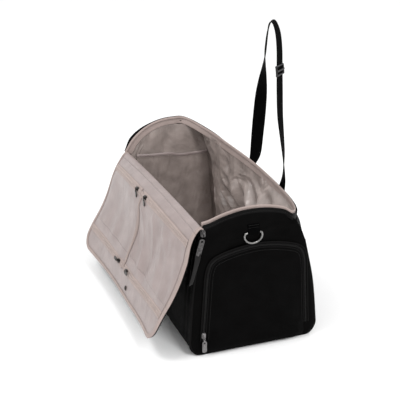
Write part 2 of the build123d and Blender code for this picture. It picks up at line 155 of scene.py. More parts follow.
def raised(grid, height):
    """A grid moved along its normals by height(point, row share, column share)."""
    rows, columns = grid.shape[:2]
    lift = np.array([[height(grid[i, j], i / (rows - 1), j / (columns - 1)) for j in range(columns)]
                     for i in range(rows)])
    return grid + normals(grid) * lift[..., None]


# ------------------------------------------------------------------ making pieces
def piece_from(name, vertices, faces, material, uv=None, sharp=None):
    mesh = bpy.data.meshes.new(name)
    mesh.from_pydata([tuple(v) for v in np.asarray(vertices) * MM], [], faces)
    mesh.polygons.foreach_set("use_smooth", [True] * len(mesh.polygons))
    if uv is not None:
        layer = mesh.uv_layers.new(name="UVMap")
        for loop in mesh.loops:
            layer.data[loop.index].uv = uv[loop.vertex_index]
    if sharp:
        mesh.set_sharp_from_angle(angle=radians(sharp))
    mesh.materials.append(material)
    piece = bpy.data.objects.new(name, mesh)
    bpy.context.scene.collection.objects.link(piece)
    return piece


def cloth(name, grid, material, thick, level=0):
    """Sheet of fabric through a grid of points, its UVs in metres along the cloth."""
    grid = np.asarray(grid, float)
    rows, columns = grid.shape[:2]
    faces = [(i * columns + j, i * columns + j + 1, (i + 1) * columns + j + 1, (i + 1) * columns + j)
             for i in range(rows - 1) for j in range(columns - 1)]
    middle = columns // 2
    down = np.concatenate([[0], np.cumsum(np.linalg.norm(np.diff(grid[:, middle], axis=0), axis=1))])
    across = np.zeros((rows, columns))
    across[:, 1:] = np.cumsum(np.linalg.norm(np.diff(grid, axis=1), axis=2), axis=1)
    across -= across[:, middle:middle + 1]
    uv = [(across[i, j] * MM, down[i] * MM) for i in range(rows) for j in range(columns)]
    piece = piece_from(name, grid.reshape(-1, 3), faces, material, uv)
    body = piece.modifiers.new("thickness", "SOLIDIFY")
    body.thickness = thick * MM
    body.offset = 0
    if level:
        piece.modifiers.new("soften", "SUBSURF").levels = level
        piece.modifiers["soften"].render_levels = level
    return piece


def lofted(parts):
    """Vertices and faces of several lofts. Each part is (rings, closed), rings being equal closed loops."""
    vertices, faces = [], []
    for rings, closed in parts:
        start, size = len(vertices), len(rings[0])
        for ring in rings:
            vertices.extend(ring)
        last = len(rings) if closed else len(rings) - 1
        for i in range(last):
            a, b = start + i * size, start + (i + 1) % len(rings) * size
            faces += [(a + j, a + (j + 1) % size, b + (j + 1) % size, b + j) for j in range(size)]
        if not closed:
            faces.append(tuple(start + j for j in range(size))[::-1])
            faces.append(tuple(start + (len(rings) - 1) * size + j for j in range(size)))
    return vertices, faces


def solid(name, parts, material, sharp=38):
    return piece_from(name, *lofted(parts), material, sharp=sharp)


def tube(path, radius, sides=10, closed=False):
    """Rings round a path; radius may change along it."""
    path = np.asarray(path, float)
    radii = np.broadcast_to(radius, len(path))
    if closed:
        run = np.roll(path, -1, axis=0) - np.roll(path, 1, axis=0)
    else:
        run = np.gradient(path, axis=0)
    run = unit(run)
    upright = abs(run[:, 2]).mean() >= 0.8
    reference = np.array([0.97, 0.11, 0.2]) if upright else np.array([0.13, 0.21, 0.97])
    rings = []
    for centre, direction, r in zip(path, run, radii):
        u = unit(np.cross(direction, reference))
        v = np.cross(direction, u)
        rings.append([centre + r * (u * cos(a) + v * sin(a)) for a in np.arange(sides) * 2 * pi / sides])
        reference = np.cross(u, direction)
    return rings, closed


def rounded(width, height, corner, per=5):
    """Rounded rectangle in its own plane."""
    points = []
    for k, (sx, sy) in enumerate([(1, 1), (-1, 1), (-1, -1), (1, -1)]):
        x, y = sx * (width / 2 - corner), sy * (height / 2 - corner)
        for a in np.linspace(0, pi / 2, per) + k * pi / 2:
            points.append((x + corner * cos(a), y + corner * sin(a)))
    return points


def slab(at, width, height, thickness, corner, edge=0.5, low=0.0, centre=(0, 0)):
    """Plate with softened edges, laid on the plane at() describes."""
    rings = []
    for lift, trim in ((0, edge), (edge, 0), (thickness - edge, 0), (thickness, edge)):
        ring = rounded(width - 2 * trim, height - 2 * trim, max(corner - trim, 0.3))
        rings.append([at(centre[0] + a, centre[1] + b, low + lift) for a, b in ring])
    return rings, False


def tab(at, width, height, thickness, corner, hole, hole_up, centre=(0, 0)):
    """Plate with a round hole near one end."""
    count = 24
    angle = np.arange(count) * 2 * pi / count
    outer = rounded(width, height, corner, 9)
    outer = spaced(outer + outer[:1], count + 1)[:-1]
    inner = np.stack([hole / 2 * np.cos(angle), hole_up + hole / 2 * np.sin(angle)], axis=1)
    start = int(np.argmin([np.hypot(*(p - outer[0])) for p in inner]))
    inner = np.roll(inner, -start, axis=0)
    edge = 0.35
    rings = []
    levels = (0, edge, thickness - edge, thickness)
    for line, grow, lift in [(outer, grow, lift) for grow, lift in zip((-edge, 0, 0, -edge), levels)] + \
                            [(inner, grow, lift) for grow, lift in zip((edge, 0, 0, edge), levels[::-1])]:
        out = unit(line - line.mean(axis=0))
        rings.append([at(centre[0] + a, centre[1] + b, lift) for a, b in line + out * grow])
    return rings, True


def link(at, half, middle, rise, wire):
    """Oval wire that joins a pull to its slider, on the plane at() describes."""
    loop = [at(half * sin(a), middle + rise * cos(a), 0.8) for a in np.linspace(0, 2 * pi, 13)[:-1]]
    return tube(loop, wire, 8, True)


def plane(origin, x_dir, z_dir):
    """Maps (a, b, lift) on a plane to a point."""
    x, z = unit(x_dir), unit(z_dir)
    y = np.cross(z, x)
    origin = np.array(origin, float)
    return lambda a, b, lift: origin + x * a + y * b + z * lift


def stitches(name, path, lift, material, pitch=3.6, length=2.4, radius=0.35):
    """A row of short threads along a path. lift gives each one's height direction."""
    path = np.asarray(path, float)
    total = np.linalg.norm(np.diff(path, axis=0), axis=1).sum()
    count = max(int(total / pitch), 2)
    points = spaced(np.hstack([path, np.broadcast_to(lift, path.shape)]), count * 4 + 1)
    parts = []
    for k in range(count):
        run = points[4 * k:4 * k + 4]
        low = run[:, :3] + run[:, 3:] * np.array([0.0, 0.5, 0.5, 0.0])[:, None] * radius
        middle = low.mean(axis=0)
        low = middle + (low - middle) * length / (pitch * 0.75)
        parts.append(tube(low, [radius * 0.5, radius, radius, radius * 0.5], 6))
    return solid(name, parts, material, sharp=None)


def teeth(name, path, across, away, material, width):
    """A zip's coil: close-set threads across a path."""
    pitch, thick = 1.7, 0.55
    shape = np.shape(path)
    path, across, away = (np.broadcast_to(np.asarray(v, float), shape) for v in (path, across, away))
    total = np.linalg.norm(np.diff(path, axis=0), axis=1).sum()
    points = spaced(np.hstack([path, across, away]), int(total / pitch))
    profile = ((-0.5, -0.5), (-0.32, 0.35), (0, 0.1), (0.32, 0.35), (0.5, -0.5))
    parts = []
    for row in points:
        centre, side, up = row[:3], row[3:6], row[6:9]
        parts.append(tube([centre + side * width * k + up * h for k, h in profile], thick, 5))
    return solid(name, parts, material, sharp=None)


def ride(piece, body, slot, *nodes):
    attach(piece, body)
    if nodes:
        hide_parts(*nodes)
    return piece


def span(piece, body_a, body_b, start, end, slot, *nodes):
    """Fabric between two bodies: bakes its transform into its mesh and hides the parts it replaces. The
    bodies and the two (x, y, z) points are not used.
    """
    tuple(v * MM for v in start)
    tuple(v * MM for v in end)
    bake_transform(piece)
    if nodes:
        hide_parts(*nodes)
    return piece


def drape(piece, spare, cap, inward, gravity):
    """Let slack cloth, held along its edges, buckle into folds; inward is the direction it may move."""
    frames = 26
    mesh = piece.data
    rest = np.array([v.co[:] for v in mesh.vertices])
    edge_use = {}
    for polygon in mesh.polygons:
        for key in polygon.edge_keys:
            edge_use[key] = edge_use.get(key, 0) + 1
    rim = sorted({v for key, used in edge_use.items() if used == 1 for v in key})
    thickness = piece.modifiers["thickness"]
    thickness.show_viewport = False
    group = piece.vertex_groups.new(name="sewn")
    group.add(rim, 1.0, "REPLACE")
    modifier = piece.modifiers.new("drape", "CLOTH")
    settings = modifier.settings
    settings.quality = 5
    settings.mass = 0.15
    settings.tension_stiffness = settings.compression_stiffness = 12
    settings.shear_stiffness = 5
    settings.bending_stiffness = 0.6
    settings.air_damping = 3
    settings.shrink_min = -spare
    settings.vertex_group_mass = "sewn"
    settings.effector_weights.gravity = gravity
    modifier.collision_settings.use_collision = False
    modifier.point_cache.frame_start = 1
    modifier.point_cache.frame_end = frames
    scene = bpy.context.scene
    for number in range(1, frames + 1):
        scene.frame_set(number)
    done = piece.evaluated_get(bpy.context.evaluated_depsgraph_get()).data
    moved = np.array([v.co[:] for v in done.vertices])
    piece.modifiers.remove(modifier)
    piece.vertex_groups.remove(group)
    scene.frame_set(1)
    thickness.show_viewport = True
    step = moved - rest
    into = unit(inward)
    outward = np.minimum(step @ into + 0.001, 0)
    step -= outward[:, None] * into
    size = np.linalg.norm(step, axis=1)
    step *= (np.minimum(size, cap * MM) / np.maximum(size, 1e-9))[:, None]
    for vertex, place in zip(mesh.vertices, rest + step):
        vertex.co = place


# ------------------------------------------------------------------ materials
class Finish:
    """A node material under construction."""

    def __init__(self, name, by_uv=True):
        self.material = bpy.data.materials.new(name)
        self.material.use_nodes = True
        self.tree = self.material.node_tree
        self.shader = self.tree.nodes["Principled BSDF"]
        coordinates = self.tree.nodes.new("ShaderNodeTexCoord")
        scale = self.node("ShaderNodeVectorMath", operation="SCALE")
        self.link(coordinates.outputs["UV" if by_uv else "Object"], scale.inputs[0])
        scale.inputs["Scale"].default_value = 1000
        self.place = scale.outputs[0]

    def node(self, kind, **settings):
        made = self.tree.nodes.new(kind)
        for key, value in settings.items():
            setattr(made, key, value)
        return made

    def link(self, output, socket):
        self.tree.links.new(output, socket)

    def noise(self, size, detail=3.0, stretch=(1, 1, 1), distortion=0.0):
        """Noise whose patches are about size millimetres across."""
        squeeze = self.node("ShaderNodeVectorMath", operation="MULTIPLY")
        squeeze.inputs[1].default_value = stretch
        self.link(self.place, squeeze.inputs[0])
        made = self.node("ShaderNodeTexNoise")
        made.inputs["Scale"].default_value = 1 / size
        made.inputs["Detail"].default_value = detail
        made.inputs["Distortion"].default_value = distortion
        self.link(squeeze.outputs[0], made.inputs["Vector"])
        return made.outputs["Fac"]

    def threads(self, pitch, direction):
        """Parallel threads, pitch millimetres apart."""
        made = self.node("ShaderNodeTexWave", bands_direction=direction)
        made.inputs["Scale"].default_value = 0.314 / pitch
        self.link(self.place, made.inputs["Vector"])
        return made.outputs["Fac"]

    def maths(self, operation, a, b):
        made = self.node("ShaderNodeMath", operation=operation)
        for socket, value in zip(made.inputs, (a, b)):
            if isinstance(value, (int, float)):
                socket.default_value = value
            else:
                self.link(value, socket)
        return made.outputs[0]

    def colour(self, factor, low, high):
        ramp = self.node("ShaderNodeValToRGB")
        for stop, position, value in zip(ramp.color_ramp.elements, (0.3, 0.7), (low, high)):
            stop.position = position
            stop.color = (*value, 1)
        self.link(factor, ramp.inputs["Fac"])
        self.link(ramp.outputs["Color"], self.shader.inputs["Base Color"])

    def bump(self, height, depth, strength=1.0):
        """Add a relief of the given depth in millimetres."""
        made = self.node("ShaderNodeBump")
        made.inputs["Distance"].default_value = depth * MM
        made.inputs["Strength"].default_value = strength
        self.link(height, made.inputs["Height"])
        before = self.shader.inputs["Normal"].links
        if before:
            self.link(before[0].from_socket, made.inputs["Normal"])
        self.link(made.outputs["Normal"], self.shader.inputs["Normal"])

    def roughness(self, factor, low, high):
        spread = self.node("ShaderNodeMapRange")
        spread.inputs["To Min"].default_value = low
        spread.inputs["To Max"].default_value = high
        self.link(factor, spread.inputs["Value"])
        self.link(spread.outputs[0], self.shader.inputs["Roughness"])

    def set(self, **values):
        for key, value in values.items():
            self.shader.inputs[key.replace("_", " ")].default_value = value
        return self.material


def woven(name, low, high, pitch, rough, specular, sheen=0.0, crease=0.0, ribs=None, crumple=0.0):
    """Plain weave with colour variation, small creases and broad, slanting crumples."""
    f = Finish(name)
    weave = f.maths("MULTIPLY", f.threads(pitch, "X"), f.threads(ribs or pitch, "Y"))
    patches = f.noise(38, 4)
    f.colour(f.maths("ADD", f.maths("MULTIPLY", patches, 0.8), f.maths("MULTIPLY", weave, 0.25)), low, high)
    f.roughness(f.noise(22, 3), rough - 0.07, rough + 0.07)
    f.bump(weave, pitch * 0.16, 0.6)
    if crease:
        f.bump(f.noise(16, 3, (1, 0.45, 1), 0.6), crease, 0.7)
    if crumple:
        f.bump(f.noise(52, 2, (1, 0.5, 1), 1.4), crumple, 1.0)
    return f.set(Sheen_Weight=sheen, Sheen_Roughness=0.45, Specular_IOR_Level=specular)


def metal(name, low, high, rough, coat=0.0):
    f = Finish(name, by_uv=False)
    f.colour(f.noise(3.0, 4), low, high)
    f.roughness(f.noise(1.4, 5), rough - 0.08, rough + 0.12)
    f.bump(f.noise(0.7, 4), 0.02, 0.5)
    return f.set(Metallic=1.0, Coat_Weight=coat)


def moulded(name, low, high, rough):
    f = Finish(name, by_uv=False)
    f.colour(f.noise(9, 4), low, high)
    f.roughness(f.noise(5, 3), rough - 0.06, rough + 0.08)
    f.bump(f.noise(0.5, 3), 0.03, 0.5)
    return f.set(Specular_IOR_Level=0.2)


NYLON = woven("black_nylon", (0.0009, 0.0008, 0.0008), (0.0022, 0.0021, 0.0021), 0.55, 0.58, 0.024,
              crease=0.5)
TRIM = woven("black_tape", (0.0024, 0.0022, 0.0022), (0.0050, 0.0047, 0.0047), 0.7, 0.62, 0.06, ribs=1.6)
WEBBING = woven("strap_webbing", (0.0008, 0.0008, 0.0009), (0.0020, 0.0020, 0.0021), 2.1, 0.7, 0.012,
                ribs=1.1)
TAIL_WEB = woven("tail_webbing", (0.006, 0.0056, 0.0056), (0.014, 0.013, 0.013), 1.6, 0.6, 0.15,
                 sheen=0.05, ribs=0.9)
SATIN = woven("satin_lining", (0.235, 0.190, 0.182), (0.312, 0.254, 0.244), 0.28, 0.37, 0.5,
              sheen=0.05, crease=0.7, crumple=2.4)
# The lid's satin painted darker as shade for the lining deep inside the bag; its wider colour spread also
# paints mottled shade and highlights of folds.
SATIN_PAINTED_SHADE = woven("satin_lining_painted_shade", (0.215, 0.178, 0.162), (0.40, 0.335, 0.31), 0.28, 0.32, 0.7,
                     sheen=0.05, crease=0.8, crumple=6.0)
LINING_TAPE = woven("lining_binding", (0.285, 0.227, 0.208), (0.35, 0.281, 0.26), 0.5, 0.55, 0.25,
                    sheen=0.05, ribs=0.9)
COIL_LIGHT = moulded("lining_zip_coil", (0.36, 0.30, 0.28), (0.44, 0.37, 0.34), 0.5)
COIL_BLACK = moulded("black_zip_coil", (0.004, 0.0038, 0.0038), (0.009, 0.0085, 0.0085), 0.45)
THREAD_BLACK = moulded("black_thread", (0.008, 0.008, 0.008), (0.02, 0.019, 0.019), 0.6)
THREAD_LIGHT = moulded("lining_thread", (0.42, 0.35, 0.32), (0.50, 0.42, 0.39), 0.6)
PLASTIC = moulded("black_plastic", (0.010, 0.010, 0.011), (0.020, 0.020, 0.021), 0.4)
BOARD = moulded("stiffening_board", (0.03, 0.029, 0.028), (0.055, 0.052, 0.05), 0.7)
STEEL = metal("nickel_plate", (0.15, 0.147, 0.144), (0.27, 0.266, 0.26), 0.3)
PEWTER = metal("pewter_pull", (0.13, 0.125, 0.125), (0.26, 0.25, 0.25), 0.36)
DARK_PEWTER = metal("dark_pewter_pull", (0.045, 0.043, 0.043), (0.12, 0.115, 0.115), 0.36)
DARK_METAL = metal("dark_enamel", (0.020, 0.016, 0.014), (0.052, 0.043, 0.038), 0.36, 0.3)


# ------------------------------------------------------------------ body shell
def corner_arc(sign, inwards):
    """Base corner in (y, z), from the flat base up to the side, or down from it."""
    angle = np.radians(np.linspace(0, 90, 7))
    flat = BASE - CORNER
    arc = np.stack([sign * (flat + CORNER * np.sin(angle)), CORNER * (1 - np.cos(angle))], axis=1)
    return arc[::-1] if inwards else arc


def side_line(sign, top):
    """One side from the base corner to its top, bowed outwards."""
    foot = (sign * BASE, CORNER)
    middle = ((foot[0] + sign * top[0]) / 2 + sign * 5, (foot[1] + top[1]) / 2)
    return smooth([foot, middle, (sign * top[0], top[1])], 16)


BACK_FINE = smooth([(x, *shoulder, *rim, *slack) for x, shoulder, rim, slack in BACK], 120)


def back_at(x):
    """Shoulder, rim and slack points of the back wall at x."""
    row = [np.interp(x, BACK_FINE[:, 0], BACK_FINE[:, k]) for k in range(1, 7)]
    return row[0:2], row[2:4], row[4:6]


def body_section(x):
    """(y, z) line from the lid's crest, down the front, under the base and up the back to the rim."""
    shoulder, rim, _ = back_at(x)
    middle = ((shoulder[0] + rim[0]) / 2 + 3, (shoulder[1] + rim[1]) / 2)
    front = side_line(-1, (TOP, SHOULDER_Z - 1))[::-1]
    parts = [spaced(front, 40), spaced(corner_arc(-1, True), 9)[1:],
             spaced([(-109, 0), (109, 0)], 15)[1:], spaced(corner_arc(1, False), 9)[1:],
             spaced(side_line(1, shoulder), 34)[1:], smooth([shoulder, middle, rim], 10)[1:]]
    return np.vstack(parts)


def shell_dents(point):
    """Soft dents of the outer fabric, none on the floor or at the sewn edges."""
    x, y, z = point
    calm = ease(z, 4, 40) * ease(244 - abs(x), 0, 26)
    dent = 3.2 * ripple(x / 74, z / 95, 1) + 1.2 * ripple(x / 31, z / 46, 2)
    ridge = sum(1.6 * np.exp(-((abs(x) - at) / 2.6) ** 2) for at in (216, 232)) if y < 0 else 0
    sag = 2.5 * fold((x + 0.5 * z) / 120, (z - 0.3 * x) / 60, 3) * ease(z, 60, 150) if y > 0 else 0
    return calm * (0.36 * sag - 0.7 * abs(dent)) + ridge * ease(z, 8, 30) * ease(268 - z, 4, 30)


def make_body_shell():
    stations = np.linspace(-WALL_X, WALL_X, 99)
    grid = np.array([[(x, y, z) for y, z in inset(body_section(x), 1.2)] for x in stations])
    grid = raised(grid, lambda p, i, j: -shell_dents(p))
    shell = cloth("body_shell", grid, NYLON, 2.0, 0)
    ride(shell, "root", "black_shell", "base_panel", "front_panel", "back_panel")


make_body_shell()


# ------------------------------------------------------------------ ends
def arch(count):
    """Left end's top from its front corner to its back corner, in (y, z)."""
    angle = np.arcsin(TOP / ARCH_R)
    turn = np.linspace(-angle, angle, count)
    return np.stack([ARCH_R * np.sin(turn), ARCH_Z - ARCH_R + ARCH_R * np.cos(turn)], axis=1)


def end_grid(right, trim=0.0):
    """(y, z) grid that fills an end panel, trimmed all round."""
    rows, columns = 62, 58
    top_right = RIGHT_SHOULDER if right else (TOP, SHOULDER_Z)
    left = spaced(np.vstack([corner_arc(-1, False), side_line(-1, (TOP, SHOULDER_Z))[1:]]), rows)
    back = spaced(np.vstack([corner_arc(1, False), side_line(1, top_right)[1:]]), rows)
    rim = smooth(RIGHT_RIM[::-1], columns) if right else arch(columns)
    base = spaced([left[0], back[0]], columns)
    centre = np.array([0, 135])
    grid = np.zeros((rows, columns, 2))
    for i, v in enumerate(np.linspace(0, 1, rows)):
        for j, u in enumerate(np.linspace(0, 1, columns)):
            low = (1 - u) * base[0] + u * base[-1]
            high = (1 - u) * rim[0] + u * rim[-1]
            sides = (1 - u) * left[i] + u * back[i]
            grid[i, j] = (1 - v) * (base[j] - low) + v * (rim[j] - high) + sides
    return centre + (grid - centre) * (1 - trim / 130)


def end_depth(right, y, z):
    """X of an end's outer face at (y, z), for the positive end."""
    if not right:
        return HALF
    roll = 3.6 * np.exp(-((z - 254) / 6.5) ** 2) * ease(100 - abs(y), 0, 40)
    return HALF + roll - max(z - LEAN_Z, 0) * LEAN


def end_dents(right, y, z):
    """Creases of an end panel."""
    high = ease(z, 205, 235)
    seed = 5 if right else 6
    crumple = 2.4 * fold((y + 0.6 * z) / 60, (z - 0.4 * y) / 34, seed)
    soft = 1.8 * ripple(y / 55, z / 70, seed + 0.3)
    return high * crumple + soft


def make_end(side, sign):
    right = sign > 0
    flat = end_grid(right)

    def place(i, j, y, z):
        edge = min(np.hypot(*(flat[i, j] - flat[i, 0])), np.hypot(*(flat[i, j] - flat[i, -1])), z)
        calm = ease(edge, 0, 26) * ease(len(flat) - 1 - i, 0, 5)
        x = end_depth(right, y, z) - 1 - 3.2 * (1 - ease(edge, 0, 8)) + calm * end_dents(right, y, z)
        return sign * x, y, z

    panel = cloth(f"{side}_end_shell", laid(flat, place), NYLON, 2.0, 1)
    ride(panel, "root", "black_shell", f"{side}_end_panel")


def outline(right):
    """Closed path of an end's seam, from the mouth's front corner round the base to its back corner."""
    back_top = RIGHT_SHOULDER if right else (TOP, SHOULDER_Z - 8)
    front = side_line(-1, (TOP, SHOULDER_Z - 6))[::-1]
    return np.vstack([front, corner_arc(-1, True)[1:], [(0, 0)], corner_arc(1, False),
                      side_line(1, back_top)[1:]])


def make_piping(side, sign):
    line = spaced(outline(sign > 0), 170)
    grown = inset(line, 0.6)
    grown[:, 1] = np.maximum(grown[:, 1], 2.3)
    path = [(sign * (HALF - 4.2), y, z) for y, z in grown]
    cord = solid(f"{side}_end_piping_cord", [tube(path, 2.5, 10)], TRIM, sharp=None)
    ride(cord, "root", "black_trim", f"{side}_end_piping")
    row = [(sign * (HALF - 1.2), y, z) for y, z in inset(line, 7)]
    thread = stitches(f"{side}_end_stitches", row, (sign, 0, 0), THREAD_BLACK)
    ride(thread, "root", "black_trim")


for side, sign in SIDES:
    make_end(side, sign)
    make_piping(side, sign)


# ------------------------------------------------------------------ linings
def inner_section(x):
    """(y, z) line of the lining on the back wall, from the rim down to the base."""
    _, rim, slack = back_at(x)
    return smooth([(rim[0] - 5, rim[1] - 1), ((rim[0] + slack[0]) / 2 - 1, (rim[1] + slack[1]) / 2), slack,
                   (slack[0] + 7, slack[1] - 34), (112, 110), (124, 50), (121, 22), (104, 9)], 70)


def back_folds(point, row, column):
    """Big soft folds that fall from the upper left to the lower right."""
    x, _, z = point
    calm = ease(row, 0, 0.06) * ease(1 - row, 0, 0.12) * between(column, 0.13)
    along, across = (x - 1.1 * z) / 190, (z + 0.55 * x) / 50
    below = ease(column, 0.1, 0.26)
    rise = 17 * fold(along, across, 8) * below + 6 * fold((x + z) / 70, z / 46, 9) - 2
    return calm * max(rise, -8 - 10 * ease(z, 90, 200))


def make_linings():
    stations = np.linspace(-WALL_X, WALL_X, 91)
    back = np.array([[(x, y, z) for y, z in inner_section(x)] for x in stations])
    back = raised(back, back_folds)
    piece = cloth("back_lining_drape", back, SATIN_PAINTED_SHADE, 0.8)
    drape(piece, 0.06, 13, (0, -1, 0), gravity=0.5)
    piece.modifiers.new("soften", "SUBSURF").levels = 1
    ride(piece, "root", "lining", "back_lining", "back_slip_pocket")

    front_line = smooth([(-106, 263), (-108, 240), (-120, 150), (-125, 60), (-123, 30), (-106, 8)], 44)
    front = np.array([[(x, y, z) for y, z in front_line] for x in stations])
    front = raised(front, lambda p, i, j: 2.2 * ripple(p[0] / 50, p[2] / 60, 11) * between(j, 0.1))
    ride(cloth("front_lining_panel", front, SATIN_PAINTED_SHADE, 0.8), "root", "lining", "front_lining")

    floor = np.array([[(x, y, 8.2 + 0.5 * ripple(x / 60, y / 50, 12)) for y in np.linspace(-110, 108, 30)]
                      for x in stations])
    ride(cloth("base_lining_panel", floor, SATIN_PAINTED_SHADE, 0.8), "root", "lining", "base_lining")

    for side, sign in SIDES:
        right = sign > 0
        flat = end_grid(right, 5.5)

        def place(i, j, y, z):
            level = i / (len(flat) - 1)
            calm = ease(level, 0, 0.1) * ease(1 - level, 0, 0.08)
            soft = 2.6 * ripple(y / 42, z / 80, 13 + sign) + 2.4 * fold(y / 70, (z + y) / 60, 18)
            return sign * (end_depth(right, y, z) - 5.5 - abs(soft) * calm), y, max(z, 6)

        panel = cloth(f"{side}_lining_panel", laid(flat, place), SATIN_PAINTED_SHADE, 0.8, 1)
        ride(panel, "root", "lining", f"{side}_end_lining")


def make_slip_pocket():
    """Pocket across the left end: a slack panel with a bound top edge that steps at the middle."""
    def top_edge(y):
        return 258 - 3 * np.tanh(y / 9) + 2 * ripple(y / 50, 0, 15)

    half = np.linspace(-92, 88, 52)
    grid = []
    for v in np.linspace(0, 1, 44):
        row = []
        for y in half:
            z = 30 + (top_edge(y) - 30) * v
            width = 1.0 + 0.26 * (1 - v) ** 1.2
            puff = 4.5 * ease(v, 0.1, 0.9) * (1 - (y / 96) ** 2)
            puff += 2.2 * ripple(y / 34, z / 90, 16) * ease(v, 0, 0.2)
            row.append((-HALF + 9.5 + max(puff, 0), y * width, z))
        grid.append(row)
    panel = cloth("left_slip_pocket_panel", grid, SATIN_PAINTED_SHADE, 0.8, 1)
    ride(panel, "root", "lining", "left_end_slip_pocket")
    top = np.array(grid[-1])
    band = np.array([top + (0.9, 0, 2.2), top + (1.9, 0, 0.8), top + (2.1, 0, -2.5), top + (1.6, 0, -5.0)])
    ride(cloth("left_slip_pocket_binding", band, SATIN, 1.0, 1), "root", "lining")
    thread = stitches("left_slip_pocket_stitches", top + (3.1, 0, -5.4), (1, 0, 0), THREAD_LIGHT)
    ride(thread, "root", "lining")


make_linings()
make_slip_pocket()


# ------------------------------------------------------------------ mouth trim
def rim_stations():
    """Rows of (crest point, up, inward) round the mouth, from the lid's left corner to its right one."""
    rows = []
    for y, z in arch(9)[:-1]:
        if y > 55:
            continue
        rows.append((-HALF + 1.5, y, z, 0, y / ARCH_R, (z - ARCH_Z + ARCH_R) / ARCH_R, 1, 0, 0))
    for x, _, (y, z), _ in BACK[1:-1]:
        rows.append((x, y - 1.5, z, 0, 0, 1, 0, -1, 0))
    for y, z in RIGHT_RIM[3:]:
        x = end_depth(True, y, z) - 1.5
        rows.append((x, y, z, -0.25, 0, 0.97, -1, 0, 0))
    return np.array(rows, float)


RIM = smooth(rim_stations(), 260)


def rim_band(name, profile, material, thick, left, right, flank=0.0):
    """Band round the mouth. profile lists (height, depth) pairs from its lower to its upper edge. left and
    right say how much of its height it has over each end, and flank adds to that beside the lid."""
    share = np.array([ease(p[0], -240, -120) for p in RIM])
    start = np.array([ease(-p[1], 40, 96) * ease(k, 0, 9) for k, p in enumerate(RIM)])
    tall = (left + flank * start) * (1 - share) + right * share
    rows = []
    for height, depth in profile:
        wave = np.array([ripple(k / 22, height / 20, 21) for k in range(len(RIM))]) * 0.9
        rise = height * np.where(height > 0, tall, 1) + wave
        rows.append(RIM[:, :3] + RIM[:, 3:6] * rise[:, None] + RIM[:, 6:9] * depth)
    return cloth(name, rows, material, thick, 1)


tape = rim_band("mouth_tape", [(-6, -1.2), (0, -1.3), (4, -1.6), (9.5, -2.6)], TRIM, 1.2, 1.02, 0.85, 0.5)
ride(tape, "root", "black_trim", "mouth_zip_tape")
rolled = [(-9, 5.0), (-3, 4.0), (5, 2.4), (12, 1.4), (14, 2.2), (12, 3.6), (6, 4.6)]
binding = rim_band("mouth_binding_band", rolled, LINING_TAPE, 0.9, 0.68, 0.9)
ride(binding, "root", "lining", "mouth_binding")
crest, up, inward = RIM[:, :3], RIM[:, 3:6], RIM[:, 6:9]
rim_thread = stitches("mouth_stitches", crest + up * 1.5 - inward * 2.2, -inward, THREAD_BLACK)
ride(rim_thread, "root", "black_trim")


# ------------------------------------------------------------------ end pockets
def pocket_path(grow, count, foot=8.0):
    """Arched pocket edge in (y, z), from its front foot over the top to its back foot."""
    half = np.array(POCKET_LINE, float)
    line = smooth(np.vstack([half, (half * (-1, 1))[-2::-1]]), count)
    line = inset(line, grow)
    return line[line[:, 1] >= foot]


def pocket_grid(rows, columns):
    """(y, z) grid that fills the pocket."""
    foot, shoulder_z, cap_rows = 6, 181, 14
    half = smooth(POCKET_LINE, 120)
    rise = half[:, 1]
    grid = []
    for v in np.linspace(0, 1, rows):
        z = foot + (shoulder_z - foot) * v
        width = np.interp(z, rise, -half[:, 0])
        grid.append([(width * u, z) for u in np.linspace(-1, 1, columns)])
    top = pocket_path(0, 400)
    top = top[top[:, 1] >= shoulder_z]
    cap, shoulder = spaced(top, columns), np.array(grid[-1])
    for k in range(1, cap_rows + 1):
        grid.append(shoulder + (cap - shoulder) * k / cap_rows)
    return np.array(grid)


